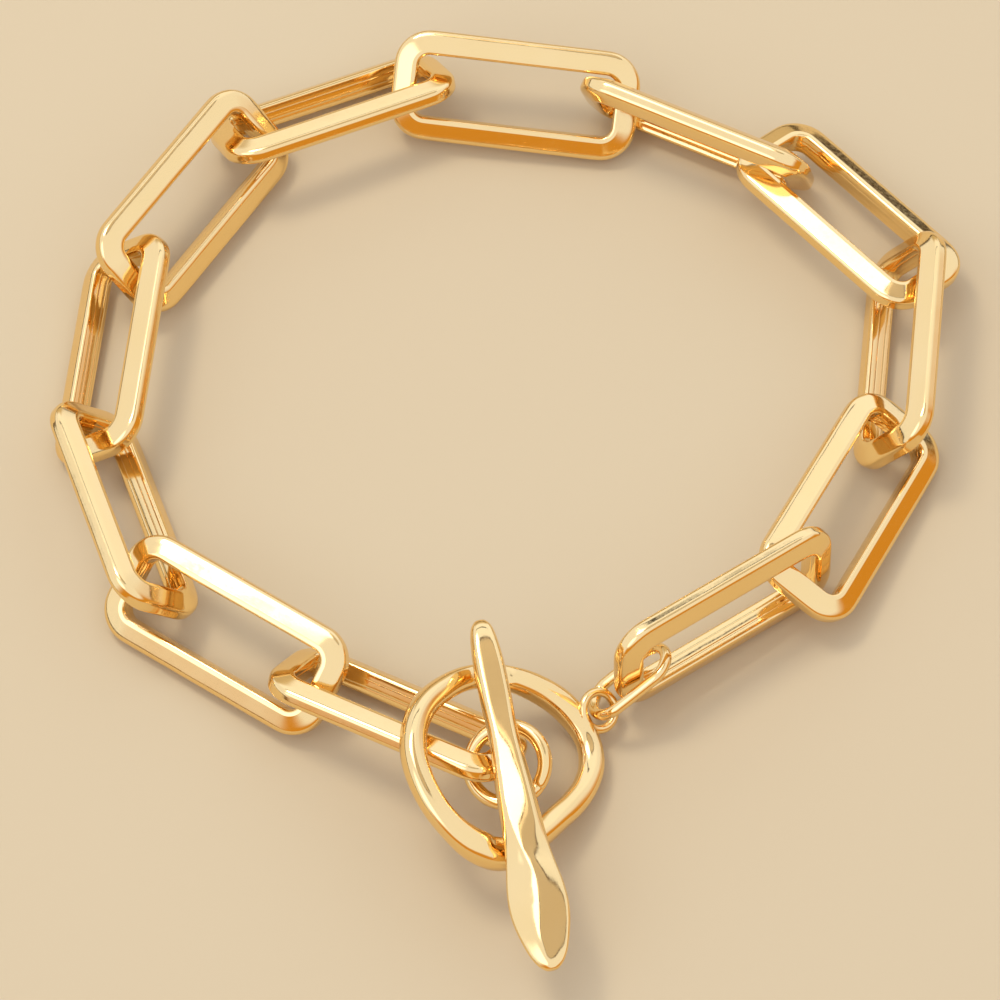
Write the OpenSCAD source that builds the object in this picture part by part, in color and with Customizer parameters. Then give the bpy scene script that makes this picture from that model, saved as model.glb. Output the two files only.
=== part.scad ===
// Link bracelet: twelve long links, a round and an oval jump ring, and a toggle clasp of an uneven ring
// and a tapered bar. It lies on a flat surface, z = 0, with the clasp towards -Y.

/* [Links] */
// Length of a link over its two ends
link_length = 18.2; // [17:0.1:20]
// Width of a link over its two rails
link_width = 8.1; // [7.6:0.1:9]
// Thickness of the link's wire, in the plane of the link
wire_width = 1.8; // [1.4:0.05:1.9]
// Depth of the link's wire, square to the plane of the link
wire_depth = 1.8; // [1.4:0.05:1.9]
// Outer radius of a link's four corners, seen on its plane
link_corner = 2.6; // [2.2:0.1:3.4]
// Rounding of the wire's two outer edges
outer_edge = 0.75; // [0.4:0.05:0.85]
// Bevel of the wire's two edges round the hole
hole_bevel = 0.1; // [0.05:0.01:0.2]

/* [Toggle ring] */
// Mean radius of the ring's centre line
ring_radius = 6.7; // [6.2:0.1:7.5]
// Mean diameter of the ring's wire
ring_wire = 1.9; // [1.6:0.1:2.1]
// Slope of the ring, which lies over the first link with its other side on the surface
ring_tilt = 28; // [24:1:32]
// Radius of the soldered eye's centre line
eye_radius = 1.3; // [1.2:0.05:1.45]
// Diameter of the eye's wire
eye_wire = 0.64; // [0.5:0.02:0.7]

/* [Toggle bar] */
// Length of the bar
bar_length = 25.4; // [22:0.1:28]
// Greatest width of the bar, across its leaf-shaped end
bar_width = 4.1; // [3.2:0.1:4.6]
// Greatest thickness of the bar
bar_thickness = 2; // [1.6:0.1:2.2]
// Radius of the centre line of the loop under the bar
loop_radius = 1.05; // [0.95:0.05:1.2]
// Diameter of the loop's wire and of its short stem
loop_wire = 0.8; // [0.6:0.05:0.9]
// Depth of the loop's centre below the bar's centre line
loop_drop = 2.8; // [2.6:0.05:3]

/* [Jump rings] */
// Radius of the round jump ring's centre line
round_radius = 2.65; // [2.4:0.05:2.8]
// Diameter of the round jump ring's wire
round_wire = 1; // [0.8:0.05:1.1]
// Length of the oval jump ring's centre line
oval_length = 6.4; // [6.2:0.1:7]
// Width of the oval jump ring's centre line
oval_width = 3.3; // [3.15:0.05:3.5]
// Diameter of the oval jump ring's wire
oval_wire = 0.8; // [0.6:0.05:0.85]

/* [Hidden] */

// Where each link of the chain lies, rounded from a least-squares fit to traced outlines and then adjusted
// for the gaps. The columns are: x and y of its centre and the clear height under its lowest edge, in
// millimetres, then its heading from +X, the rise of its forward end and the lean of its left rail, in
// degrees. The first link is the one at the toggle bar.
X = 0;
Y = 1;
LIFT = 2;
HEADING = 3;
RISE = 4;
LEAN = 5;
LINK_ROUTE = [
    [ -7.4, -25.9, 0.0,  154, -5,  36],
    [-19.5, -19.8, 0.0,  148, -2, -33],
    [-27.1, -10.5, 0.0,  111, -4,  46],
    [-28.7,   2.9, 0.0,   85,  1, -41],
    [-23.6,  15.5, 0.4,   58, -1,  42],
    [-13.8,  24.1, 0.3,   25, -2, -33],
    [ -0.4,  25.6, 0.2,   -5, -2,  39],
    [ 13.0,  22.3, 0.0,  -24,  0, -67],
    [ 24.0,  15.8, 1.7,  -46,  1, -12],
    [ 27.6,   4.4, 0.0,  -95,  0,  55],
    [ 23.9,  -8.4, 0.2, -117,  5, -25],
    [ 14.9, -18.0, 0.0, -144,  3, -82]
];

// Centre of the whole layout's box, which the model is moved by, so that the origin is under its middle
LAYOUT_MIDDLE = [-0.25, -7.72];

// Places of the clasp's pieces in the layout, rounded from fits of the same kind and then adjusted: x, y, z,
// then turns about X, Y and Z
RING_PLACE = [-0.1, -30.1, 4.4];
BAR_PLACE = [0.8, -33.4, 6.8];
BAR_TURN = [6, 6.5, -77.5];
ROUND_PLACE = [0.2, -30.2, 4.7];
ROUND_TURN = [18, -16, 0];
OVAL_PLACE = [8.5, -22.85, 3.3];
OVAL_TURN = [-32, -30, 31];

// Place of the soldered loop along the bar, from its middle
LOOP_ALONG = -0.4;

// The eye's place on the ring: angle along it, then its offset outwards and upwards from the centre line
EYE_ANGLE = 39;
EYE_OUT = 1.4;
EYE_UP = 0.95;
EYE_TURN = [21, 34, 0];

// Shape of the uneven ring: angle, distance from the middle as a share of ring_radius, and wire as a
// share of ring_wire
RING_SHAPE = [
    [  0, 0.96, 0.97], [ 15, 1.07, 0.97], [ 30, 1.12, 0.95], [ 50, 1.10, 1.05], [ 70, 1.04, 1.00],
    [ 90, 1.00, 0.90], [110, 0.98, 0.90], [135, 0.98, 0.96], [160, 1.02, 0.95], [185, 1.03, 0.95],
    [210, 1.01, 0.95], [235, 1.01, 1.00], [255, 1.02, 1.20], [272, 0.99, 1.25], [290, 0.86, 1.05],
    [308, 0.79, 1.00], [326, 0.78, 1.00], [344, 0.85, 1.00]
];

// Shape of the bar from its narrow end: place along it as a share of bar_length, width as a share of
// bar_width and thickness as a share of bar_thickness
BAR_SHAPE = [
    [0.000, 0.16, 0.25], [0.015, 0.33, 0.60], [0.045, 0.44, 0.85], [0.120, 0.53, 0.95],
    [0.230, 0.54, 0.97], [0.330, 0.51, 1.00], [0.440, 0.60, 1.00], [0.500, 0.65, 1.00],
    [0.600, 0.70, 1.00], [0.660, 0.75, 0.95], [0.720, 0.86, 0.90], [0.760, 0.95, 0.85],
    [0.820, 1.00, 0.80], [0.870, 0.93, 0.76], [0.920, 0.77, 0.70], [0.955, 0.62, 0.62],
    [0.985, 0.40, 0.50], [1.000, 0.16, 0.25]
];

// Sides of a swept wire, steps between two rows of a shape, and facets of a round ring
WIRE_SIDES = 12;
STEPS = 3;
ROUND_SIDES = 48;
EDGE_STEPS = 4;

// Smooth curve through p1 and p2, with p0 and p3 on either side
function curve(p0, p1, p2, p3, t) =
    p1 + (p2 - p0) * t / 2
    + (2 * p0 - 5 * p1 + 4 * p2 - p3) * t * t / 2
    + (3 * p1 - p0 - 3 * p2 + p3) * t * t * t / 2;

// Outline of a link's wire: x outwards from the centre of a corner, y square to the link's plane
function wire_outline() = let (
    inside = link_corner - wire_width,
    half = wire_depth / 2,
    edge = [for (k = [0:EDGE_STEPS]) k * 90 / EDGE_STEPS]
) concat(
    [[inside, -half + hole_bevel], [inside + hole_bevel, -half]],
    [for (a = edge) [link_corner - outer_edge * (1 - sin(a)), -half + outer_edge * (1 - cos(a))]],
    [for (a = edge) [link_corner - outer_edge * (1 - cos(a)), half - outer_edge * (1 - sin(a))]],
    [[inside + hole_bevel, half], [inside, half - hole_bevel]]
);

// Height of a link's centre when its lowest edge touches the surface
function rest_height(rise, lean) = let (
    along = abs(sin(rise)),
    across = abs(cos(rise) * sin(lean)),
    square = abs(cos(rise) * cos(lean))
) max([for (p = wire_outline())
    (link_length / 2 - link_corner) * along + (link_width / 2 - link_corner) * across
    + p[0] * norm([along, across]) + abs(p[1]) * square]);

// Distance between the centres of two links pulled tight, at the drawn size. Longer links make the loop
// larger, while its two ends stay where the jump rings hold them.
DRAWN_PITCH = 14.6;
GROWTH = (link_length - 2 * wire_width) / DRAWN_PITCH - 1;
function spot(row) = [row[X], row[Y]];
function way(row) = cos(row[RISE]) * [cos(row[HEADING]), sin(row[HEADING])];
FIRST_HOLD = spot(LINK_ROUTE[0]) - DRAWN_PITCH / 2 * way(LINK_ROUTE[0]);
LAST_HOLD = spot(LINK_ROUTE[11]) + DRAWN_PITCH / 2 * way(LINK_ROUTE[11]);
function link_place(number) = let (
    row = LINK_ROUTE[number - 1],
    hold = FIRST_HOLD + (LAST_HOLD - FIRST_HOLD) * (number - 1) / 11
) spot(row) + GROWTH * (spot(row) - hold);

module corner() {
    translate([link_length / 2 - link_corner, link_width / 2 - link_corner, 0])
        rotate_extrude(angle = 90, $fn = ROUND_SIDES)
            polygon(wire_outline());
}

module rail() {
    reach = link_length / 2 - link_corner;
    translate([-reach, link_width / 2 - link_corner, 0])
        rotate([90, 0, 90])
            linear_extrude(2 * reach)
                polygon(wire_outline());
}

module end_bar() {
    reach = link_width / 2 - link_corner;
    translate([link_length / 2 - link_corner, reach, 0])
        rotate([90, 0, 0])
            linear_extrude(2 * reach)
                polygon(wire_outline());
}

// A long link with round corners, flat round its hole and rounded outside
module link() {
    union() {
        for (side = [0, 1]) {
            mirror([0, side, 0]) rail();
            mirror([side, 0, 0]) end_bar();
            for (end = [0, 1])
                mirror([0, side, 0]) mirror([end, 0, 0]) corner();
        }
    }
}

module placed_link(number) {
    row = LINK_ROUTE[number - 1];
    place = link_place(number);
    height = rest_height(row[RISE], row[LEAN]) + row[LIFT];
    color("#e9c47c")
        translate([place[0], place[1], height])
            rotate([row[LEAN], -row[RISE], row[HEADING]])
                link();
}

module torus(radius, wire) {
    rotate_extrude($fn = ROUND_SIDES)
        translate([radius, 0])
            circle(d = wire, $fn = ROUND_SIDES / 2);
}

// Rings of points joined into a closed skin, which runs back to its start or has flat ends
module skin(rings, closed) {
    count = len(rings);
    sides = len(rings[0]);
    last = closed ? count - 1 : count - 2;
    walls = [for (i = [0:last], k = [0:sides - 1]) let (
        j = (i + 1) % count,
        m = (k + 1) % sides
    ) each [
        [i * sides + k, j * sides + k, j * sides + m],
        [i * sides + k, j * sides + m, i * sides + m]
    ]];
    ends = closed ? [] : [
        [for (k = [0:sides - 1]) k],
        [for (k = [sides - 1:-1:0]) (count - 1) * sides + k]
    ];
    polyhedron([for (r = rings, p = r) p], concat(walls, ends), convexity = 6);
}

// Middle of the ring's wire and the wire's radius, for each step round the ring
function ring_stations() = let (
    rows = [for (r = RING_SHAPE) [
        ring_radius * r[1] * cos(r[0]),
        ring_radius * r[1] * sin(r[0]),
        ring_wire * r[2] / 2
    ]],
    count = len(rows)
) [for (i = [0:count - 1], s = [0:STEPS - 1])
    curve(rows[(i + count - 1) % count], rows[i], rows[(i + 1) % count], rows[(i + 2) % count], s / STEPS)];

module uneven_ring() {
    stations = ring_stations();
    count = len(stations);
    skin([for (i = [0:count - 1]) let (
        here = stations[i],
        ahead = stations[(i + 1) % count],
        behind = stations[(i + count - 1) % count],
        run = [ahead[0] - behind[0], ahead[1] - behind[1]] / norm([ahead[0] - behind[0], ahead[1] - behind[1]])
    ) [for (k = [0:WIRE_SIDES - 1]) let (a = k * 360 / WIRE_SIDES) [
        here[0] - here[2] * cos(a) * run[1],
        here[1] + here[2] * cos(a) * run[0],
        here[2] * sin(a)
    ]]], true);
}

// The uneven ring with the small eye soldered on its edge
module placed_ring() {
    reach = ring_radius * lookup(EYE_ANGLE, [for (r = RING_SHAPE) [r[0], r[1]]]) + EYE_OUT;
    across = [cos(ring_tilt), 0, -sin(ring_tilt)];
    up = [sin(ring_tilt), 0, cos(ring_tilt)];
    eye = RING_PLACE + across * reach * cos(EYE_ANGLE) + [0, reach * sin(EYE_ANGLE), 0] + up * EYE_UP;
    color("#eac888")
        union() {
            translate(RING_PLACE) rotate([0, ring_tilt, 0]) uneven_ring();
            translate(eye) rotate(EYE_TURN) torus(eye_radius, eye_wire);
        }
}

// Place, half width and half thickness for each step along the bar
function bar_stations() = let (
    rows = [for (r = BAR_SHAPE) [
        bar_length * (r[0] - 1 / 2),
        bar_width * r[1] / 2,
        bar_thickness * r[2] / 2
    ]],
    last = len(rows) - 1
) concat(
    [for (i = [0:last - 1], s = [0:STEPS - 1])
        curve(rows[max(i - 1, 0)], rows[i], rows[i + 1], rows[min(i + 2, last)], s / STEPS)],
    [rows[last]]
);

module leaf_bar() {
    skin([for (s = bar_stations())
        [for (k = [0:WIRE_SIDES - 1]) let (a = k * 360 / WIRE_SIDES)
            [s[0], s[1] * cos(a), s[2] * sin(a)]]], false);
}

// The tapered bar with the loop that is soldered under its middle on a short stem
module placed_bar() {
    color("#ecc98a")
        translate(BAR_PLACE) rotate(BAR_TURN)
            union() {
                leaf_bar();
                translate([LOOP_ALONG, 0, -loop_drop])
                    rotate([90, 0, 0]) torus(loop_radius, loop_wire);
                translate([LOOP_ALONG, 0, -loop_drop + loop_radius])
                    cylinder(h = loop_drop - loop_radius - bar_thickness / 4, d = loop_wire, $fn = 24);
            }
}

module placed_round_ring() {
    color("#e6bc6e")
        translate(ROUND_PLACE) rotate(ROUND_TURN) torus(round_radius, round_wire);
}

// Two straight sides and two half rings
module placed_oval_ring() {
    bend = oval_width / 2;
    reach = oval_length / 2 - bend;
    color("#e6bc6e")
        translate(OVAL_PLACE) rotate(OVAL_TURN)
            union() {
                for (side = [-1, 1]) {
                    translate([-reach, side * bend, 0])
                        rotate([0, 90, 0])
                            cylinder(h = 2 * reach, d = oval_wire, $fn = 24);
                    translate([side * reach, 0, 0])
                        rotate([0, 0, -90 * side])
                            rotate_extrude(angle = 180, $fn = ROUND_SIDES)
                                translate([bend, 0])
                                    circle(d = oval_wire, $fn = 24);
                }
            }
}

module centred() {
    translate([-LAYOUT_MIDDLE[0], -LAYOUT_MIDDLE[1], 0]) children();
}

centred() placed_link(1);  // link_01
centred() placed_link(2);  // link_02
centred() placed_link(3);  // link_03
centred() placed_link(4);  // link_04
centred() placed_link(5);  // link_05
centred() placed_link(6);  // link_06
centred() placed_link(7);  // link_07
centred() placed_link(8);  // link_08
centred() placed_link(9);  // link_09
centred() placed_link(10);  // link_10
centred() placed_link(11);  // link_11
centred() placed_link(12);  // link_12
centred() placed_ring();  // toggle_ring
centred() placed_bar();  // toggle_bar
centred() placed_round_ring();  // round_jump_ring
centred() placed_oval_ring();  // oval_jump_ring
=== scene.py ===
"""Looks of a gold link bracelet with a toggle clasp, lying closed in a loop.

Every length in the settings is in metres. Each finished piece keeps its place in its mesh."""
import math

import bpy
import bmesh
import numpy as np
from mathutils import Euler, Matrix, Vector


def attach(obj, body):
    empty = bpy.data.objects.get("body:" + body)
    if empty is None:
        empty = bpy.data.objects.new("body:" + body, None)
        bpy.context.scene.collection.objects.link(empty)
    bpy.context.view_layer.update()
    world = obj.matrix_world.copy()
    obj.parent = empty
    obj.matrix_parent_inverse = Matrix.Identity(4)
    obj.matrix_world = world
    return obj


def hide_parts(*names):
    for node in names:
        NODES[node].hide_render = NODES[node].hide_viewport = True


bl_info = {
    "name": "Gold link bracelet",
    "version": (1, 0, 0),
    "blender": (4, 5, 0),
    "location": "View3D > Sidebar > Bracelet",
    "description": "Models the links, clasp and jump rings of a gold link bracelet and its studio",
    "category": "Object",
}

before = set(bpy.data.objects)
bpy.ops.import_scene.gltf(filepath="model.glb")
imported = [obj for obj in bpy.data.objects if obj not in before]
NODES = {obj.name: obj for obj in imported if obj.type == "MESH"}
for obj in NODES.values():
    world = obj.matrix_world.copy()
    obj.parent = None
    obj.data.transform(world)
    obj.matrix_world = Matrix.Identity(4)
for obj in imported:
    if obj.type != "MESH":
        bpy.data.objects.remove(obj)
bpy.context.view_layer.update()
LINKS = sorted(name for name in NODES if name.startswith("link_"))
MM = 0.001

# Middle of the whole layout in millimetres, and the place and turn of each piece of the clasp in it. They
# repeat those of the solids, which are rounded from fits to traced outlines and then adjusted.
LAYOUT_MIDDLE = (-0.25, -7.72)
RING_PLACE = (-0.1, -30.1, 4.4)
BAR_PLACE = (0.8, -33.4, 6.8)
BAR_TURN = (6, 6.5, -77.5)
ROUND_PLACE = (0.2, -30.2, 4.7)
ROUND_TURN = (18, -16, 0)
OVAL_PLACE = (8.5, -22.85, 3.3)
OVAL_TURN = (-32, -30, 31)

# Place of the loop along the bar from its middle, in millimetres
LOOP_ALONG = -0.4

# The eye: its angle round the ring in degrees, its place outside and above the ring's centre line in
# millimetres, and its turn
EYE_ANGLE = 39
EYE_OUT = 1.4
EYE_UP = 0.95
EYE_TURN = (21, 34, 0)

# The uneven ring: angle, distance from its middle and wire as shares of the named sizes, and the turn of the
# wire's flattened top in degrees
RING_SHAPE = (
    (0, 0.96, 0.97, 8), (15, 1.07, 0.97, 14), (30, 1.12, 0.95, 20), (50, 1.10, 1.05, 6),
    (70, 1.04, 1.00, -8), (90, 1.00, 0.90, 0), (110, 0.98, 0.90, 0), (135, 0.98, 0.96, 12),
    (160, 1.02, 0.95, 20), (185, 1.03, 0.95, 6), (210, 1.01, 0.95, -10), (235, 1.01, 1.00, -16),
    (255, 1.02, 1.20, -6), (272, 0.99, 1.25, 0), (290, 0.86, 1.05, 10), (308, 0.79, 1.00, 18),
    (326, 0.78, 1.00, 10), (344, 0.85, 1.00, 2),
)

# The ring's hammered wire: 2 would give a round section and a higher number gives a squarer one, and the
# whole section is drawn in a little because its corners stand out
RING_SQUARENESS = 2.9
RING_DRAWN_IN = 0.97

# Two places where the ring's top is pressed down: where each begins and ends and how wide its edges are, in
# degrees, how deep it goes as a share of the height over the wire's middle, and where it ends towards the
# outer side as a share of half the wire
PRESSED_PLACES = ((92, 113), (262, 284))
PRESSED_EDGE = 4
PRESSED_DEPTH = 0.28
PRESSED_REACH = 0.6

# The bar from its narrow end: place along it, width and thickness as shares of the named sizes, then the
# share of a flat top, the share of a ridged leaf, the ridge's place from the middle to the edge, and the fall
# of the flat top towards one side as a share of half the thickness
BAR_SHAPE = (
    (0.000, 0.16, 0.25, 0.3, 0.0, 0.00, 0.20), (0.015, 0.33, 0.60, 0.5, 0.0, 0.00, 0.20),
    (0.045, 0.44, 0.85, 0.9, 0.0, 0.00, 0.20), (0.120, 0.53, 0.95, 1.0, 0.0, 0.00, 0.20),
    (0.230, 0.54, 0.97, 1.0, 0.0, 0.00, 0.20), (0.320, 0.51, 1.00, 0.9, 0.0, 0.00, 0.14),
    (0.400, 0.56, 1.00, 0.8, 0.0, -0.10, 0.02), (0.500, 0.65, 1.00, 0.9, 0.0, -0.40, 0.00),
    (0.590, 0.70, 1.00, 0.8, 0.2, -0.50, 0.02), (0.660, 0.75, 0.95, 0.3, 0.8, -0.26, 0.00),
    (0.720, 0.86, 0.90, 0.0, 1.0, 0.05, 0.00), (0.760, 0.95, 0.85, 0.0, 1.0, 0.08, 0.00),
    (0.820, 1.00, 0.80, 0.0, 1.0, -0.05, 0.00), (0.870, 0.93, 0.76, 0.0, 1.0, -0.18, 0.00),
    (0.920, 0.77, 0.70, 0.0, 1.0, -0.28, 0.00), (0.955, 0.62, 0.62, 0.0, 0.9, -0.30, 0.00),
    (0.985, 0.40, 0.50, 0.0, 0.6, -0.20, 0.00), (1.000, 0.16, 0.25, 0.0, 0.3, 0.00, 0.00),
)

# Where the bar's sections lie along it as shares of its length, closer together at its ends
BAR_PLACES = [0, 0.006, 0.015, 0.03, 0.045] + [k / 50 for k in range(4, 48)] + [0.955, 0.97, 0.985, 0.994, 1]

# The bar's flat top: its height as a share of half the thickness, and how much steeper than a round bar its
# sides are
FLAT_HEIGHT = 0.88
FLAT_SIDE = 1.22

# The bar's leaf: its height at the edges and the rise from there to its ridge, as shares of half the
# thickness, the power of that rise, which makes it a little full because it is under 1, and how much steeper
# than a round bar the leaf's sides are
LEAF_EDGE_HEIGHT = 0.32
LEAF_RISE = 0.68
LEAF_FULLNESS = 0.9
LEAF_SIDE = 2.2

# The seam of the round jump ring: its angle in degrees, the share of the wire's thickness that it leaves, how
# many segments away the wire is still drawn towards it, and by what share of the way
SEAM_ANGLE = -40
SEAM_LEAVES = 0.93
SEAM_REACH = 1.4
SEAM_PULL = 0.8

# Steps along a link's rail, its end and its corner, round and across the rings, and round the bar and stem
RAIL_STEPS = 8
END_STEPS = 3
CORNER_STEPS = 9
TOGGLE_RING_STEPS = (144, 16)
SMALL_RING_STEPS = (64, 20)
JUMP_RING_STEPS = (120, 24)
BAR_SIDES = 24
STEM_SIDES = 32

# Angle in degrees over which an edge is shaded crisp, on wire and on soldered pieces
WIRE_CREASE = 60
SOLDERED_CREASE = 50

# Points nearer than this, in millimetres, are made one: on a link, along a soldered join, and in a sliver
LINK_WELD = 0.001
SOLDER_WELD = 0.004
SLIVER = 0.002

# The plating: size of its patches of tone, depth of its scratches, both in millimetres, the shares of the
# scratch pattern between which it goes from bright to worn, and how much rougher worn plating is
TONE_PATCH = 6
SCRATCH_DEPTH = 0.0012
WORN_FROM = 0.35
WORN_TO = 0.75
WORN_ROUGHNESS = 2.2

# The camera: its aim and the width of its sensor in millimetres, and the nearest that it sees in metres
CAMERA_AIM = (-0.5, 0.87, 0)
CAMERA_SENSOR = 36
CAMERA_NEAREST = 0.01

# The floor: its side in metres, how far it lies under the bracelet in millimetres, and its roughness
FLOOR_SIZE = 3
FLOOR_DROP = 0.02
FLOOR_ROUGHNESS = 0.9

# The softbox: its place and its two sides in metres, and its warm white
KEY_PLACE = (-0.22, 0.16, 0.52)
KEY_SIDES = (0.16, 0.12)
KEY_COLOUR = "#FFF6E6"

# Colours of the tent's edge at the table, of the dark line over it and of the seam in the back wall, and how
# they waver: the scale of the ripples, and their height as a share of the way from the table to the top
TABLE_EDGE = "#6E5C44"
TABLE_LINE = "#3A3026"
TENT_SEAM = "#17130E"
RIPPLE_SCALE = 7
RIPPLE_HEIGHT = 0.024

# Walls of the tent: the level direction of their middle, nearly of length 1, and the products with it, which
# are nearly cosines, where they begin and are whole
BACK_WALL = ((-0.13, 0.99, 0), 0.87, 0.95)
WARM_WALL = ((0.55, -0.83, 0), -0.1, 0.4)

# Heights at which the warm wall starts to fade and is gone, as shares of the way from the table to the top
WARM_WALL_TOP = (0.2, 0.36)

# The panel overhead: its direction, and the cosines where its frame and its cloth begin and are whole
PANEL_WAY = (0.2, 0.23, 0.95)
PANEL_FRAME_EDGE = (0.968, 0.973)
PANEL_EDGE = (0.974, 0.979)

# Brighter patches of the tent: direction, the cosines where each begins and is whole, and the light that it
# adds as a share of the tent's
BRIGHT_PATCHES = (
    ((-0.2, 0.28, 0.94), 0.96, 0.978, 1.6),
    ((-0.55, -0.45, 0.70), 0.92, 0.96, 0.9),
    ((0.1, 0.75, 0.66), 0.8, 0.92, 0.15),
)


def size(name, text, value, low, high):
    """A length in millimetres as a property in metres."""
    return bpy.props.FloatProperty(
        name=name,
        description=text,
        default=value * MM,
        min=low * MM,
        max=high * MM,
        unit="LENGTH",
        precision=5,
    )


def paint(name, text, value):
    """A colour as sRGB hex text."""
    return bpy.props.StringProperty(name=name, description=text, default=value)


class LinkSettings(bpy.types.PropertyGroup):
    length: size("Length", "Length of a link over its ends", 18.2, 17, 20)
    width: size("Width", "Width of a link over its rails", 8.1, 7.6, 9)
    wire: size("Wire width", "Width of the wire in the link's plane", 1.8, 1.4, 1.9)
    depth: size("Wire depth", "Depth of the wire, square to the link's plane", 1.8, 1.4, 1.9)
    corner: size("Corner", "Outer radius of the link's corners", 2.6, 2.2, 3.4)
    hole_bevel: size("Hole bevel", "Bevel of the edges round the hole", 0.1, 0.05, 0.2)


class ClaspSettings(bpy.types.PropertyGroup):
    ring_radius: size("Ring radius", "Mean radius of the toggle ring", 6.7, 6.2, 7.5)
    ring_wire: size("Ring wire", "Mean diameter of the toggle ring's wire", 1.9, 1.6, 2.1)
    ring_tilt: bpy.props.FloatProperty(
        name="Ring tilt", description="Slope of the toggle ring over the first link",
        default=math.radians(28), subtype="ANGLE")
    eye_radius: size("Eye radius", "Radius of the soldered eye", 1.3, 1.2, 1.45)
    eye_wire: size("Eye wire", "Diameter of the eye's wire", 0.64, 0.5, 0.7)
    bar_length: size("Bar length", "Length of the toggle bar", 25.4, 22, 28)
    bar_width: size("Bar width", "Width of the bar's leaf", 4.1, 3.2, 4.6)
    bar_thickness: size("Bar thickness", "Greatest thickness of the bar", 2, 1.6, 2.2)
    loop_radius: size("Loop radius", "Radius of the loop under the bar", 1.05, 0.95, 1.2)
    loop_wire: size("Loop wire", "Diameter of the loop's wire", 0.8, 0.6, 0.9)
    loop_drop: size("Loop drop", "Depth of the loop's centre under the bar", 2.8, 2.6, 3)


class RingSettings(bpy.types.PropertyGroup):
    round_radius: size("Round radius", "Radius of the round jump ring", 2.65, 2.4, 2.8)
    round_wire: size("Round wire", "Wire of the round jump ring", 1, 0.8, 1.1)
    oval_length: size("Oval length", "Length of the oval jump ring's centre line", 6.4, 6.2, 7)
    oval_width: size("Oval width", "Width of the oval jump ring's centre line", 3.3, 3.15, 3.5)
    oval_wire: size("Oval wire", "Wire of the oval jump ring", 0.8, 0.6, 0.85)


class StudioSettings(bpy.types.PropertyGroup):
    gold: paint("Gold", "Colour of the plating seen face on", "#FBDC9E")
    gold_deep: paint("Deep gold", "Colour of the plating where it is a little thicker", "#F8D48E")
    floor: paint("Floor", "Colour of the floor", "#C8B590")
    tent: paint("Tent", "Colour of the tent's cloth", "#E8EDFF")
    back_wall: paint("Back wall", "Colour of the foot of the tent's back wall", "#BFB098")
    warm_wall: paint("Warm wall", "Colour of the tent's front and right side, low over the table", "#C68E38")
    panel: paint("Panel", "Colour of the small dim panel overhead", "#C4BAB2")
    panel_frame: paint("Panel frame", "Colour of the thin frame round the panel", "#4A3A28")
    tent_light: bpy.props.FloatProperty(
        name="Tent light", description="Brightness of the tent round the table", default=1.2, min=0, max=3)
    key_power: bpy.props.FloatProperty(
        name="Key power", description="Power of the small softbox that throws the shadows",
        default=0.9, min=0, unit="POWER")
    camera_distance: size("Camera distance", "Distance from the camera to its aim", 355.4, 200, 600)
    camera_rise: bpy.props.FloatProperty(
        name="Camera rise", description="Angle of the camera above the floor",
        default=math.radians(60.26), subtype="ANGLE")
    camera_roll: bpy.props.FloatProperty(
        name="Camera roll", description="Turn of the camera about its own line of sight",
        default=math.radians(1.48), subtype="ANGLE")
    focal_length: bpy.props.FloatProperty(
        name="Focal length", description="Focal length in millimetres on a 36 mm sensor", default=180)


def linear(hex_colour):
    """Linear colour with alpha from sRGB hex."""
    parts = [int(hex_colour[i:i + 2], 16) / 255 for i in (1, 3, 5)]
    return [c / 12.92 if c <= 0.04045 else ((c + 0.055) / 1.055) ** 2.4 for c in parts] + [1.0]


def add_node(tree, kind, settings=None, links=None):
    """Adds a node, sets its properties and sockets, and links sockets from other nodes."""
    node = tree.nodes.new(kind)
    for key, value in (settings or {}).items():
        if isinstance(key, str) and hasattr(node, key):
            setattr(node, key, value)
        else:
            node.inputs[key].default_value = value
    for key, source in (links or {}).items():
        tree.links.new(source, node.inputs[key])
    return node


def gold_material(name, wave_mm, wave_depth_mm, roughness, scratch_mm):
    """Electroplated gold on cast or drawn brass: a mirror that is a little wavy, with polishing scratches."""
    looks = bpy.context.scene.bracelet_studio
    material = bpy.data.materials.new(name)
    material.use_nodes = True
    tree = material.node_tree
    shader = tree.nodes["Principled BSDF"]
    shader.inputs["Metallic"].default_value = 1
    place = add_node(tree, "ShaderNodeTexCoord").outputs["Object"]
    tone = add_node(tree, "ShaderNodeTexNoise",
                    {"Scale": 1 / (TONE_PATCH * MM), "Detail": 2}, {"Vector": place})
    tones = {"data_type": "RGBA", 6: linear(looks.gold), 7: linear(looks.gold_deep)}
    mix = add_node(tree, "ShaderNodeMix", tones, {0: tone.outputs["Fac"]})
    tree.links.new(mix.outputs[2], shader.inputs["Base Color"])
    waves = add_node(tree, "ShaderNodeTexNoise",
                     {"Scale": 1 / (wave_mm * MM), "Detail": 1.5, "Roughness": 0.4}, {"Vector": place})
    low = add_node(tree, "ShaderNodeBump", {"Strength": 1, "Distance": wave_depth_mm * MM},
                   {"Height": waves.outputs["Fac"]})
    scratches = add_node(tree, "ShaderNodeTexNoise",
                         {"Scale": 1 / (scratch_mm * MM), "Detail": 3, "Roughness": 0.6}, {"Vector": place})
    fine = add_node(tree, "ShaderNodeBump", {"Strength": 1, "Distance": SCRATCH_DEPTH * MM},
                    {"Height": scratches.outputs["Fac"], "Normal": low.outputs["Normal"]})
    tree.links.new(fine.outputs["Normal"], shader.inputs["Normal"])
    worn = add_node(tree, "ShaderNodeMapRange",
                    {1: WORN_FROM, 2: WORN_TO, 3: roughness, 4: roughness * WORN_ROUGHNESS},
                    {"Value": scratches.outputs["Fac"]})
    tree.links.new(worn.outputs[0], shader.inputs["Roughness"])
    return material


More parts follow.
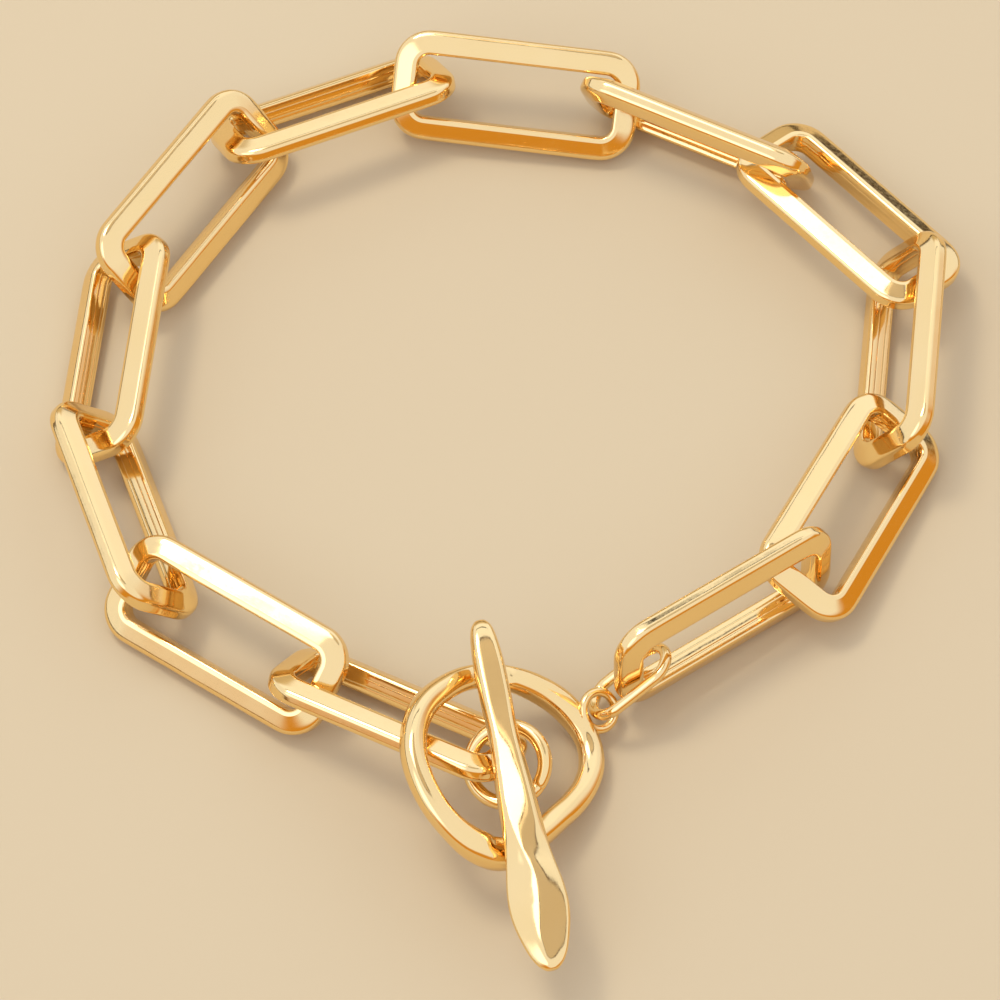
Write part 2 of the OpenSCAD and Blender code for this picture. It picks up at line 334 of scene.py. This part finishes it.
def deselect():
    """Leaves object mode with nothing selected."""
    if bpy.context.object and bpy.context.object.mode != "OBJECT":
        bpy.ops.object.mode_set(mode="OBJECT")
    bpy.ops.object.select_all(action="DESELECT")


def apply_modifier(piece, kind, **settings):
    """Adds a modifier to the piece and applies it."""
    modifier = piece.modifiers.new(kind.title(), kind)
    for key, value in settings.items():
        setattr(modifier, key, value)
    bpy.context.view_layer.objects.active = piece
    bpy.ops.object.modifier_apply(modifier=modifier.name)


def surface_frame(name):
    """Middle and axes of a CAD node, with its longest axis as X and its shortest, pointing up, as Z."""
    mesh = NODES[name].data
    points = np.empty(len(mesh.vertices) * 3)
    mesh.vertices.foreach_get("co", points)
    points = points.reshape(-1, 3)
    mesh.calc_loop_triangles()
    corners = np.empty(len(mesh.loop_triangles) * 3, dtype=np.int64)
    mesh.loop_triangles.foreach_get("vertices", corners)
    a, b, c = (points[corners.reshape(-1, 3)[:, k]] for k in range(3))
    area = np.linalg.norm(np.cross(b - a, c - a), axis=1) / 2
    centre = ((a + b + c) / 3 * area[:, None]).sum(0) / area.sum()
    a, b, c = a - centre, b - centre, c - centre
    total = a + b + c
    spread = sum(np.einsum("n,ni,nj->ij", area / 12, p, p) for p in (a, b, c, total))
    axes = np.linalg.eigh(spread)[1]
    x, y, z = axes[:, 2], axes[:, 1], axes[:, 0]
    if z[2] < 0:
        z = -z
    y = np.cross(z, x)
    middle = [((points - centre) @ axis).min() + ((points - centre) @ axis).max() for axis in (x, y, z)]
    centre = centre + (x * middle[0] + y * middle[1] + z * middle[2]) / 2
    place = Matrix.Identity(4)
    for k, axis in enumerate((x, y, z)):
        for row in range(3):
            place[row][k] = axis[row]
    place.translation = Vector(centre)
    return place


def keep_place(piece, place):
    """Moves the piece to its place and leaves that in its mesh."""
    deselect()
    piece.select_set(True)
    bpy.context.view_layer.objects.active = piece
    piece.matrix_world = place
    bpy.ops.object.transform_apply(location=True, rotation=True, scale=True)


def finish_piece(piece, node, material):
    """Gives the piece its material and lets it stand for its CAD node."""
    piece.data.materials.clear()
    piece.data.materials.append(material)
    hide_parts(node)
    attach(piece, "root")


def link_section(s):
    """The whole section of the wire, the same above and below its middle.

    The table gives its upper half, from the middle of the inner wall to the outer side. The first number is
    the share of the wire's width and the second the share of half its depth. The wall bulges a little between
    two fine lengthwise lines. The top has a narrow flat round the hole and a plane that falls from a crisp
    line to the rounded outer edge.
    """
    rim = s.hole_bevel / s.wire
    half = (
        (0.0, 0.0), (0.001, 0.14), (0.005, 0.33), (0.022, 0.36), (0.008, 0.39), (0.02, 0.65), (0.032, 0.86),
        (0.036 + rim * 0.2, 0.92), (0.036 + rim * 0.8, 1.0), (0.12, 1.03), (0.18, 1.04), (0.265, 1.04),
        (0.283, 1.03), (0.305, 1.015), (0.46, 0.915), (0.62, 0.81), (0.76, 0.72), (0.85, 0.65), (0.91, 0.58),
        (0.955, 0.49), (0.985, 0.38), (1.0, 0.26), (1.0, 0.13),
    )
    other = [(u, -z) for u, z in half[:0:-1]]
    return [(u * s.wire, z * s.depth / 2) for u, z in list(half) + [(1.0, 0.0)] + other]


def model_link():
    """One long link, flat at the origin, its section drawn along the rails and spun round the corners."""
    s = bpy.context.scene.bracelet_links
    section = link_section(s)
    reach = s.length / 2 - s.corner
    rise = s.width / 2 - s.corner
    inside = s.corner - s.wire
    deselect()
    bpy.ops.mesh.primitive_circle_add(vertices=len(section), radius=1 * MM, fill_type="NOTHING")
    link = bpy.context.object
    for vertex, (u, z) in zip(link.data.vertices, section):
        vertex.co = (reach + inside + u, -rise, z)
    bpy.ops.object.mode_set(mode="EDIT")
    bpy.ops.mesh.select_all(action="SELECT")
    sides = (
        ((0, 2 * rise, 0), END_STEPS, (reach, rise, 0)),
        ((-2 * reach, 0, 0), RAIL_STEPS, (-reach, rise, 0)),
        ((0, -2 * rise, 0), END_STEPS, (-reach, -rise, 0)),
        ((2 * reach, 0, 0), RAIL_STEPS, (reach, -rise, 0)),
    )
    for run, steps, corner in sides:
        for _ in range(steps):
            bpy.ops.mesh.extrude_region_move(TRANSFORM_OT_translate={"value": [d / steps for d in run]})
        bpy.ops.mesh.spin(steps=CORNER_STEPS, angle=-math.pi / 2, center=corner, axis=(0, 0, 1))
    bpy.ops.mesh.select_all(action="SELECT")
    bpy.ops.mesh.remove_doubles(threshold=LINK_WELD * MM)
    bpy.ops.mesh.normals_make_consistent(inside=False)
    bpy.ops.object.mode_set(mode="OBJECT")
    apply_modifier(link, "SUBSURF", levels=1, render_levels=1)
    smooth(link, WIRE_CREASE)
    return link


class BRACELET_OT_links(bpy.types.Operator):
    """Models one long link and lays a copy of it where each link lies"""
    bl_idname = "bracelet.links"
    bl_label = "Links"

    def execute(self, context):
        material = gold_material(
            "gold_plate_on_cast_brass", wave_mm=4.0, wave_depth_mm=0.05, roughness=0.07, scratch_mm=0.35)
        link = model_link()
        for name in LINKS:
            deselect()
            link.select_set(True)
            context.view_layer.objects.active = link
            bpy.ops.object.duplicate()
            copy = context.object
            copy.name = name.replace("link", "long_link")
            keep_place(copy, surface_frame(name))
            finish_piece(copy, name, material)
        bpy.data.objects.remove(link)
        return {"FINISHED"}


def layout(place, turn):
    """Matrix of a piece at a place in millimetres of the layout, turned about X, Y and Z in degrees."""
    spot = Vector((place[0] - LAYOUT_MIDDLE[0], place[1] - LAYOUT_MIDDLE[1], place[2])) * MM
    return Matrix.Translation(spot) @ Euler([math.radians(a) for a in turn], "XYZ").to_matrix().to_4x4()


def between(rows, where, closed=False):
    """The table's row at a place between two rows, on a smooth curve."""
    table = np.array(rows, dtype=float)
    if closed:
        table = wrapped(table)
    k = int(np.clip(np.searchsorted(table[:, 0], where, side="right") - 1, 0, len(table) - 2))
    t = (where - table[k, 0]) / (table[k + 1, 0] - table[k, 0])
    p0, p1, p2, p3 = table[max(k - 1, 0)], table[k], table[k + 1], table[min(k + 2, len(table) - 1)]
    return (p1 + (p2 - p0) * t / 2 + (2 * p0 - 5 * p1 + 4 * p2 - p3) * t * t / 2
            + (3 * p1 - p0 - 3 * p2 + p3) * t ** 3 / 2)


def wrapped(table):
    """A table of angles with its last rows repeated before the first, and its first after the last."""
    before, after = table[-2:].copy(), table[:2].copy()
    before[:, 0] -= 360
    after[:, 0] += 360
    return np.concatenate([before, table, after])


def move_vertices(piece, shape):
    """Moves each vertex of the piece to the place that the shape gives for it."""
    deselect()
    bpy.context.view_layer.objects.active = piece
    bpy.ops.object.mode_set(mode="EDIT")
    mesh = bmesh.from_edit_mesh(piece.data)
    for vertex in mesh.verts:
        vertex.co = shape(vertex.co.copy())
    bmesh.update_edit_mesh(piece.data)
    bpy.ops.object.mode_set(mode="OBJECT")


def add_ring(radius, wire, steps):
    """A round ring of wire at the origin, lying flat, with its steps round and across."""
    deselect()
    bpy.ops.mesh.primitive_torus_add(
        major_radius=radius, minor_radius=wire / 2, major_segments=steps[0], minor_segments=steps[1])
    return bpy.context.object


def solder(piece, others):
    """Joins the others to the piece as one skin, and welds the slivers along the joins."""
    for other in others:
        apply_modifier(piece, "BOOLEAN", operation="UNION", solver="EXACT", object=other)
        bpy.data.objects.remove(other)
    deselect()
    bpy.context.view_layer.objects.active = piece
    bpy.ops.object.mode_set(mode="EDIT")
    bpy.ops.mesh.select_all(action="SELECT")
    bpy.ops.mesh.remove_doubles(threshold=SOLDER_WELD * MM)
    bpy.ops.mesh.dissolve_degenerate(threshold=SLIVER * MM)
    bpy.ops.mesh.quads_convert_to_tris(quad_method="BEAUTY", ngon_method="BEAUTY")
    bpy.ops.mesh.dissolve_degenerate(threshold=SLIVER * MM)
    bpy.ops.object.mode_set(mode="OBJECT")


def smooth(piece, degrees):
    """Shades the piece smooth, with its edges over an angle crisp."""
    deselect()
    piece.select_set(True)
    bpy.context.view_layer.objects.active = piece
    bpy.ops.object.shade_smooth_by_angle(angle=math.radians(degrees))


def model_toggle_ring():
    """The uneven ring with flattened, hammered faces, and the small eye soldered on its edge."""
    s = bpy.context.scene.bracelet_clasp
    ring = add_ring(s.ring_radius, s.ring_wire, TOGGLE_RING_STEPS)

    def dent(angle, low, high):
        """1 between two angles, falling smoothly to 0 within an edge outside them."""
        away = max(low - angle, angle - high, 0)
        inside = max(0, 1 - away / PRESSED_EDGE)
        return inside ** 2 * (3 - 2 * inside)

    def centre(row):
        """Point on the ring's centre line for a row of its table."""
        angle = math.radians(row[0])
        return Vector((math.cos(angle), math.sin(angle), 0)) * row[1] * s.ring_radius

    def hammered(point):
        """Place on the hammered ring of a point of the round one."""
        angle = math.degrees(math.atan2(point.y, point.x)) % 360
        side = math.atan2(point.z, math.hypot(point.x, point.y) - s.ring_radius)
        row = between(RING_SHAPE, angle, closed=True)
        ahead = between(RING_SHAPE, angle + 1, closed=True)
        behind = between(RING_SHAPE, angle - 1, closed=True)
        run = (centre(ahead) - centre(behind)).normalized()
        outwards = Vector((run.y, -run.x, 0))
        half = row[2] * s.ring_wire / 2
        turned = side - math.radians(row[3])
        c, d = abs(math.cos(turned)), abs(math.sin(turned))
        reach = (c ** RING_SQUARENESS + d ** RING_SQUARENESS) ** (-1 / RING_SQUARENESS)
        out, up = (reach * share * half * RING_DRAWN_IN for share in (math.cos(side), math.sin(side)))
        pressed = sum(dent(angle, low, high) for low, high in PRESSED_PLACES)
        if up > 0:
            up *= 1 - PRESSED_DEPTH * pressed * max(0, min(1, PRESSED_REACH - out / half))
        return centre(row) + outwards * out + Vector((0, 0, up))

    move_vertices(ring, hammered)
    apply_modifier(ring, "SUBSURF", levels=1, render_levels=1)
    eye = add_ring(s.eye_radius, s.eye_wire, SMALL_RING_STEPS)
    angle = math.radians(EYE_ANGLE)
    reach = between(RING_SHAPE, EYE_ANGLE, closed=True)[1] * s.ring_radius + EYE_OUT * MM
    tilt = Euler((0, s.ring_tilt, 0)).to_matrix().to_4x4()
    at = tilt @ Vector((reach * math.cos(angle), reach * math.sin(angle), EYE_UP * MM))
    upright = Matrix.Translation(at) @ Euler([math.radians(a) for a in EYE_TURN]).to_matrix().to_4x4()
    keep_place(eye, upright)
    keep_place(ring, tilt)
    solder(ring, [eye])
    smooth(ring, SOLDERED_CREASE)
    ring.name = "hammered_toggle_ring"
    keep_place(ring, layout(RING_PLACE, (0, 0, 0)))
    return ring


def bar_section(row, angle):
    """Place across and up, as shares of the half width and half thickness, at an angle round the bar."""
    across, round_up = math.cos(angle), math.sin(angle)
    if round_up <= 0:
        return across, round_up
    flat, leaf, ridge, fall = row[3:]
    flat_up = min(FLAT_HEIGHT - fall * across, round_up * FLAT_SIDE)
    leaf_up = round_up
    if leaf > 0:
        edge = 1 - ridge if across > ridge else 1 + ridge
        peak = max(0, 1 - abs(across - ridge) / edge)
        leaf_up = min(LEAF_EDGE_HEIGHT + LEAF_RISE * peak ** LEAF_FULLNESS, round_up * LEAF_SIDE)
    up = round_up * (1 - flat) + flat_up * flat
    return across, up * (1 - leaf) + leaf_up * leaf


def model_toggle_bar():
    """The tapered bar with a flat top at its narrow end and a ridged leaf, and the loop under its middle."""
    s = bpy.context.scene.bracelet_clasp
    deselect()
    bpy.ops.mesh.primitive_circle_add(
        vertices=BAR_SIDES, radius=1 * MM, fill_type="NGON", rotation=(math.pi / 2, 0, math.pi / 2))
    bar = bpy.context.object
    bpy.ops.object.transform_apply(location=True, rotation=True, scale=True)
    bpy.ops.object.mode_set(mode="EDIT")
    bpy.ops.mesh.select_all(action="SELECT")
    for _ in BAR_PLACES[1:]:
        bpy.ops.mesh.extrude_region_move(TRANSFORM_OT_translate={"value": (1 * MM, 0, 0)})
    bpy.ops.mesh.select_all(action="SELECT")
    bpy.ops.mesh.normals_make_consistent(inside=False)
    bpy.ops.object.mode_set(mode="OBJECT")

    def forged(point):
        """Place on the forged bar of a point of the straight one, which has a millimetre to each section."""
        row = between(BAR_SHAPE, BAR_PLACES[int(round(point.x / MM))])
        across, up = bar_section(row, math.atan2(point.z, point.y))
        return Vector(((row[0] - 0.5) * s.bar_length, across * row[1] * s.bar_width / 2,
                       up * row[2] * s.bar_thickness / 2))

    move_vertices(bar, forged)
    apply_modifier(bar, "SUBSURF", levels=1, render_levels=1)
    loop = add_ring(s.loop_radius, s.loop_wire, SMALL_RING_STEPS)
    under = Matrix.Translation((LOOP_ALONG * MM, 0, -s.loop_drop))
    keep_place(loop, under @ Matrix.Rotation(math.pi / 2, 4, "X"))
    deselect()
    length = s.loop_drop - s.loop_radius - s.bar_thickness / 4
    middle = (LOOP_ALONG * MM, 0, -s.loop_drop + s.loop_radius + length / 2)
    bpy.ops.mesh.primitive_cylinder_add(
        vertices=STEM_SIDES, radius=s.loop_wire / 2, depth=length, location=middle)
    stem = bpy.context.object
    bpy.ops.object.transform_apply(location=True, rotation=True, scale=True)
    solder(bar, [stem, loop])
    smooth(bar, SOLDERED_CREASE)
    bar.name = "leaf_toggle_bar"
    keep_place(bar, layout(BAR_PLACE, BAR_TURN))
    return bar


def model_jump_rings():
    """The round ring of drawn wire with its closed seam, and the oval one."""
    s = bpy.context.scene.bracelet_rings
    round_ring = add_ring(s.round_radius, s.round_wire, JUMP_RING_STEPS)
    step = 360 / JUMP_RING_STEPS[0]
    seam = round(SEAM_ANGLE / step) * step

    def sawn(point):
        """A fine saw cut across the wire, closed again, at the segment nearest the seam's angle."""
        here = math.degrees(math.atan2(point.y, point.x))
        away = (here - seam + 180) % 360 - 180
        if abs(away) > SEAM_REACH * step:
            return point
        if abs(away) > step / 2:
            return Matrix.Rotation(math.radians(-away * SEAM_PULL), 4, "Z") @ point
        middle = Vector((point.x, point.y, 0)).normalized() * s.round_radius
        return middle + (point - middle) * SEAM_LEAVES

    move_vertices(round_ring, sawn)
    round_ring.name = "round_wire_ring"
    smooth(round_ring, WIRE_CREASE)
    keep_place(round_ring, layout(ROUND_PLACE, ROUND_TURN))

    oval_ring = add_ring(s.oval_width / 2, s.oval_wire, JUMP_RING_STEPS)
    stretch = (s.oval_length - s.oval_width) / 2
    nearly_middle = 0.0001 * MM

    def drawn_out(point):
        """Moves the two halves of the ring apart, and leaves the points in the middle where they are."""
        if abs(point.x) <= nearly_middle:
            return point
        return point + Vector((math.copysign(stretch, point.x), 0, 0))

    move_vertices(oval_ring, drawn_out)
    oval_ring.name = "oval_wire_ring"
    smooth(oval_ring, WIRE_CREASE)
    keep_place(oval_ring, layout(OVAL_PLACE, OVAL_TURN))
    return round_ring, oval_ring


class BRACELET_OT_clasp(bpy.types.Operator):
    """Models the toggle ring with its eye and the toggle bar with its loop"""
    bl_idname = "bracelet.clasp"
    bl_label = "Toggle clasp"

    def execute(self, context):
        material = gold_material(
            "gold_plate_on_hammered_brass", wave_mm=3.0, wave_depth_mm=0.05, roughness=0.06, scratch_mm=0.35)
        finish_piece(model_toggle_ring(), "toggle_ring", material)
        finish_piece(model_toggle_bar(), "toggle_bar", material)
        return {"FINISHED"}


class BRACELET_OT_jump_rings(bpy.types.Operator):
    """Models the round and the oval jump ring"""
    bl_idname = "bracelet.jump_rings"
    bl_label = "Jump rings"

    def execute(self, context):
        material = gold_material(
            "gold_plate_on_drawn_wire", wave_mm=4.0, wave_depth_mm=0.01, roughness=0.06, scratch_mm=0.35)
        round_ring, oval_ring = model_jump_rings()
        finish_piece(round_ring, "round_jump_ring", material)
        finish_piece(oval_ring, "oval_jump_ring", material)
        return {"FINISHED"}


def place_camera(context, s):
    """The camera, at its distance from its aim, raised over the floor and rolled a little."""
    back = Vector((0, -math.cos(s.camera_rise), math.sin(s.camera_rise)))
    right = Vector((1, 0, 0))
    up = back.cross(right)
    x = right * math.cos(s.camera_roll) + up * math.sin(s.camera_roll)
    y = back.cross(x)
    camera = bpy.data.objects.new("camera", bpy.data.cameras.new("camera"))
    context.scene.collection.objects.link(camera)
    place = Matrix((x, y, back)).transposed().to_4x4()
    place.translation = Vector(CAMERA_AIM) * MM + back * s.camera_distance
    camera.matrix_world = place
    camera.data.lens = s.focal_length
    camera.data.sensor_width = CAMERA_SENSOR
    camera.data.clip_start = CAMERA_NEAREST
    context.scene.camera = camera


def lay_floor(context, s):
    """The floor of matt pale board, which shows next to no gloss."""
    deselect()
    bpy.ops.mesh.primitive_plane_add(size=FLOOR_SIZE, location=(0, 0, -FLOOR_DROP * MM))
    floor = context.object
    floor.name = "floor"
    material = bpy.data.materials.new("matt_pale_board")
    material.use_nodes = True
    shader = material.node_tree.nodes["Principled BSDF"]
    shader.inputs["Base Color"].default_value = linear(s.floor)
    shader.inputs["Roughness"].default_value = FLOOR_ROUGHNESS
    floor.data.materials.append(material)


def hang_softbox(context, s):
    """The small softbox that throws the shadows, turned to the middle of the floor."""
    light = bpy.data.lights.new("key_softbox", "AREA")
    light.shape = "RECTANGLE"
    light.size, light.size_y = KEY_SIDES
    light.energy = s.key_power
    light.color = linear(KEY_COLOUR)[:3]
    lamp = bpy.data.objects.new("key_softbox", light)
    context.scene.collection.objects.link(lamp)
    turn = Vector(KEY_PLACE).to_track_quat("Z", "Y").to_matrix().to_4x4()
    lamp.matrix_world = Matrix.Translation(KEY_PLACE) @ turn


def soft_part(tree, way, toward, low, high, gain=1):
    """A part of the tent with a soft edge: 0 outside it and the gain inside, from its middle's direction."""
    facing = add_node(tree, "ShaderNodeVectorMath", {"operation": "DOT_PRODUCT", 1: toward}, {0: way})
    edges = {"interpolation_type": "SMOOTHSTEP", 1: low, 2: high, 4: gain}
    return add_node(tree, "ShaderNodeMapRange", edges, {"Value": facing.outputs["Value"]}).outputs[0]


def hang_tent(context, s):
    """A white tent round the table, which the gold reflects.

    Its back wall is dim at the foot, with a dark seam where it meets the top, and a dark line runs all round
    at the table's edge. The walls are warm low down at the front and right. Three patches of the cloth are
    brighter, and a small framed panel overhead is dimmer.
    """
    world = bpy.data.worlds.new("white_tent")
    context.scene.world = world
    world.use_nodes = True
    tree = world.node_tree
    way = add_node(tree, "ShaderNodeTexCoord").outputs["Generated"]
    ripple = add_node(tree, "ShaderNodeTexNoise", {"Scale": RIPPLE_SCALE, "Detail": 3}, {"Vector": way})
    axes = add_node(tree, "ShaderNodeSeparateXYZ", links={"Vector": way})
    angle = add_node(tree, "ShaderNodeMath", {"operation": "ARCSINE"}, {0: axes.outputs["Z"]})
    right_angle_to_one = {"operation": "MULTIPLY", 1: 2 / math.pi}
    straight = add_node(tree, "ShaderNodeMath", right_angle_to_one, {0: angle.outputs[0]})
    height = add_node(tree, "ShaderNodeMath", {"operation": "MULTIPLY_ADD", 1: RIPPLE_HEIGHT},
                      {0: ripple.outputs["Fac"], 2: straight.outputs[0]}).outputs[0]

    at_the_table = ((0.0, TABLE_EDGE), (0.02, TABLE_LINE), (0.045, TABLE_LINE))
    most_walls = at_the_table + ((0.055, s.tent), (1.0, s.tent))
    back_wall = at_the_table + (
        (0.055, s.back_wall), (0.2, s.back_wall), (0.3, s.tent), (0.512, s.tent),
        (0.522, TENT_SEAM), (0.542, TENT_SEAM), (0.552, s.tent), (1.0, s.tent),
    )
    walls = []
    for bands in (most_walls, back_wall):
        ramp = add_node(tree, "ShaderNodeValToRGB", links={"Fac": height})
        elements = ramp.color_ramp.elements
        while len(elements) < len(bands):
            elements.new(1)
        for element, (position, colour) in zip(elements, bands):
            element.position = position
            element.color = linear(colour)
        walls.append(ramp.outputs["Color"])

    flat = add_node(tree, "ShaderNodeVectorMath", {"operation": "MULTIPLY", 1: (1, 1, 0)}, {0: way})
    level_way = add_node(
        tree, "ShaderNodeVectorMath", {"operation": "NORMALIZE"}, {0: flat.outputs[0]}).outputs[0]
    behind = soft_part(tree, level_way, *BACK_WALL)
    tent = add_node(tree, "ShaderNodeMix", {"data_type": "RGBA"}, {0: behind, 6: walls[0], 7: walls[1]})
    in_front = soft_part(tree, level_way, *WARM_WALL)
    fading = {"interpolation_type": "SMOOTHSTEP", 1: WARM_WALL_TOP[0], 2: WARM_WALL_TOP[1], 3: 1, 4: 0}
    low_down = add_node(tree, "ShaderNodeMapRange", fading, {"Value": height})
    warm = add_node(tree, "ShaderNodeMath", {"operation": "MULTIPLY"}, {0: in_front, 1: low_down.outputs[0]})
    overhead = Vector(PANEL_WAY).normalized()
    for colour, share in (
        (s.warm_wall, warm.outputs[0]),
        (s.panel_frame, soft_part(tree, way, overhead, *PANEL_FRAME_EDGE)),
        (s.panel, soft_part(tree, way, overhead, *PANEL_EDGE)),
    ):
        tent = add_node(tree, "ShaderNodeMix", {"data_type": "RGBA", 7: linear(colour)},
                        {0: share, 6: tent.outputs[2]})

    light = None
    for spot, low, high, gain in BRIGHT_PATCHES:
        sources = {0: soft_part(tree, way, Vector(spot).normalized(), low, high, gain * s.tent_light)}
        if light:
            sources[1] = light.outputs[0]
        light = add_node(tree, "ShaderNodeMath", {"operation": "ADD", 1: s.tent_light}, sources)
    background = tree.nodes["Background"]
    tree.links.new(tent.outputs[2], background.inputs["Color"])
    tree.links.new(light.outputs[0], background.inputs["Strength"])


class BRACELET_OT_studio(bpy.types.Operator):
    """Sets the camera, the floor and the soft lights"""
    bl_idname = "bracelet.studio"
    bl_label = "Studio"

    def execute(self, context):
        s = context.scene.bracelet_studio
        place_camera(context, s)
        lay_floor(context, s)
        hang_softbox(context, s)
        hang_tent(context, s)
        context.scene.view_settings.view_transform = "Standard"
        return {"FINISHED"}


class BRACELET_PT_panel(bpy.types.Panel):
    """Lists the bracelet's sizes and colours and its pieces"""
    bl_idname = "BRACELET_PT_panel"
    bl_label = "Gold link bracelet"
    bl_space_type = "VIEW_3D"
    bl_region_type = "UI"
    bl_category = "Bracelet"

    def draw(self, context):
        for group in GROUPS:
            settings = getattr(context.scene, group)
            box = self.layout.box()
            for name in settings.bl_rna.properties.keys():
                if name not in ("rna_type", "name"):
                    box.prop(settings, name)
        for operator in OPERATORS:
            self.layout.operator(operator.bl_idname)


GROUPS = {
    "bracelet_links": LinkSettings,
    "bracelet_clasp": ClaspSettings,
    "bracelet_rings": RingSettings,
    "bracelet_studio": StudioSettings,
}
OPERATORS = (BRACELET_OT_studio, BRACELET_OT_links, BRACELET_OT_clasp, BRACELET_OT_jump_rings)


def register():
    for group in GROUPS.values():
        bpy.utils.register_class(group)
    for name, group in GROUPS.items():
        setattr(bpy.types.Scene, name, bpy.props.PointerProperty(type=group))
    for operator in OPERATORS:
        bpy.utils.register_class(operator)
    bpy.utils.register_class(BRACELET_PT_panel)


def unregister():
    bpy.utils.unregister_class(BRACELET_PT_panel)
    for operator in reversed(OPERATORS):
        bpy.utils.unregister_class(operator)
    for name, group in GROUPS.items():
        delattr(bpy.types.Scene, name)
        bpy.utils.unregister_class(group)


def main():
    register()
    bpy.ops.bracelet.studio()
    bpy.ops.bracelet.links()
    bpy.ops.bracelet.clasp()
    bpy.ops.bracelet.jump_rings()


if __name__ == "__main__":
    main()
